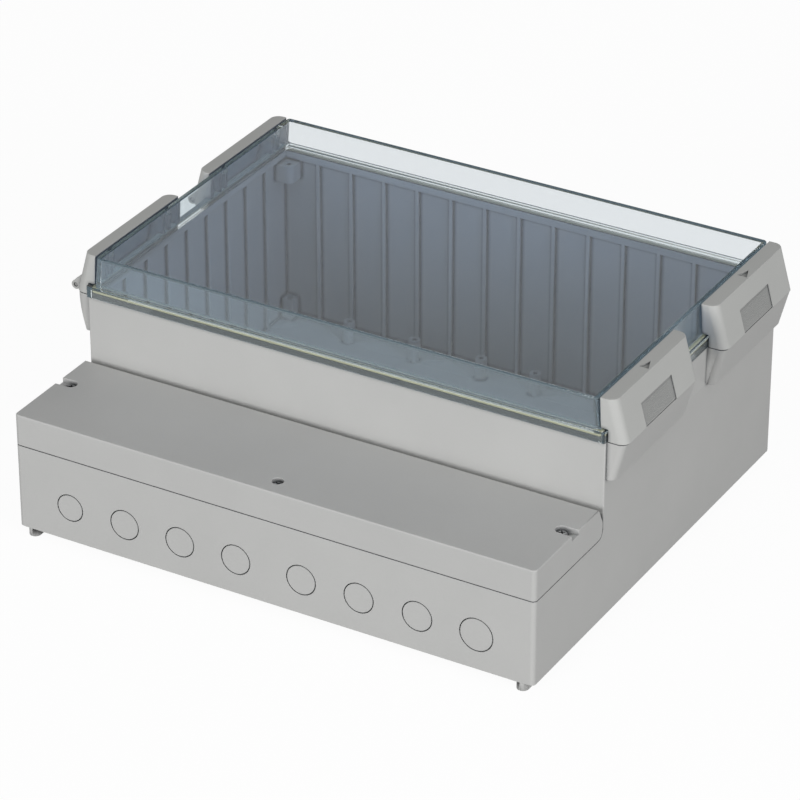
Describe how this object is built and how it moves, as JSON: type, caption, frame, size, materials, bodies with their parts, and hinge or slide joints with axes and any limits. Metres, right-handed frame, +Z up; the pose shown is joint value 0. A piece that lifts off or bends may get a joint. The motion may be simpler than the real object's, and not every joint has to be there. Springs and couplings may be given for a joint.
{
  "type": "controller enclosure",
  "caption": "Grey plastic wall enclosure with a smoked hinged window cover, snap latches and a lower screwed terminal cover over a row of cable knockouts.",
  "frame": {"origin": "centre of the four fixing holes, on the plane that the feet stand on", "axes": "+X along the width, from the hinge side to the latch side; +Y from the gland face to the far end; +Z up out of the window cover, away from the wall it is fixed to"},
  "size_m": [0.39, 0.314, 0.1548],
  "materials": {
    "base_grey": "fine matt moulded",
    "cover_grey": "fine matt moulded",
    "clip_grey": "fine matt moulded",
    "smoked_clear": "clear smoked polycarbonate",
    "seal_foam": "soft foam",
    "seal_grey": "matt",
    "steel": "zinc plated"
  },
  "bodies": {
    "base": {"base_shell": "base_grey", "knockout_a": "base_grey", "knockout_b": "base_grey", "knockout_c": "base_grey", "knockout_d": "base_grey", "knockout_e": "base_grey", "knockout_f": "base_grey", "knockout_g": "base_grey", "knockout_h": "base_grey", "hinge_pin_front": "steel", "hinge_pin_rear": "steel"},
    "window": {"window_cover": "smoked_clear", "cover_seal": "seal_foam", "hinge_leaf_front": "clip_grey", "hinge_leaf_rear": "clip_grey", "leaf_pin_front": "steel", "leaf_pin_rear": "steel", "latch_pin_front": "steel", "latch_pin_rear": "steel"},
    "front_latch": {"latch_front": "clip_grey"},
    "rear_latch": {"latch_rear": "clip_grey"},
    "terminal_lid": {"terminal_cover": "cover_grey", "terminal_seal": "seal_grey"},
    "left_screw": {"terminal_screw_left": "steel"},
    "centre_screw": {"terminal_screw_centre": "steel"},
    "right_screw": {"terminal_screw_right": "steel"}
  },
  "joints": [
    {"name": "window_hinge", "type": "hinge", "parent": "base", "child": "window", "pos_m": [-0.1943, 0.041, 0.1271], "axis": [0, -1, 0], "range_deg": [0, 110]},
    {"name": "front_latch_pivot", "type": "hinge", "parent": "window", "child": "front_latch", "pos_m": [0.1772, -0.0246, 0.1496], "axis": [0, -1, 0], "range_deg": [0, 12]},
    {"name": "rear_latch_pivot", "type": "hinge", "parent": "window", "child": "rear_latch", "pos_m": [0.1772, 0.1064, 0.1496], "axis": [0, -1, 0], "range_deg": [0, 12]},
    {"name": "terminal_lift", "type": "slide", "parent": "base", "child": "terminal_lid", "axis": [0, 0, 1], "range_m": [0, 0.05]},
    {"name": "left_screw_turn", "type": "hinge", "parent": "terminal_lid", "child": "left_screw", "pos_m": [-0.171, -0.1085, 0.0788], "axis": [0, 0, 1], "continuous": true},
    {"name": "centre_screw_turn", "type": "hinge", "parent": "terminal_lid", "child": "centre_screw", "pos_m": [0, -0.1442, 0.0788], "axis": [0, 0, 1], "continuous": true},
    {"name": "right_screw_turn", "type": "hinge", "parent": "terminal_lid", "child": "right_screw", "pos_m": [0.171, -0.1085, 0.0788], "axis": [0, 0, 1], "continuous": true}
  ]
}
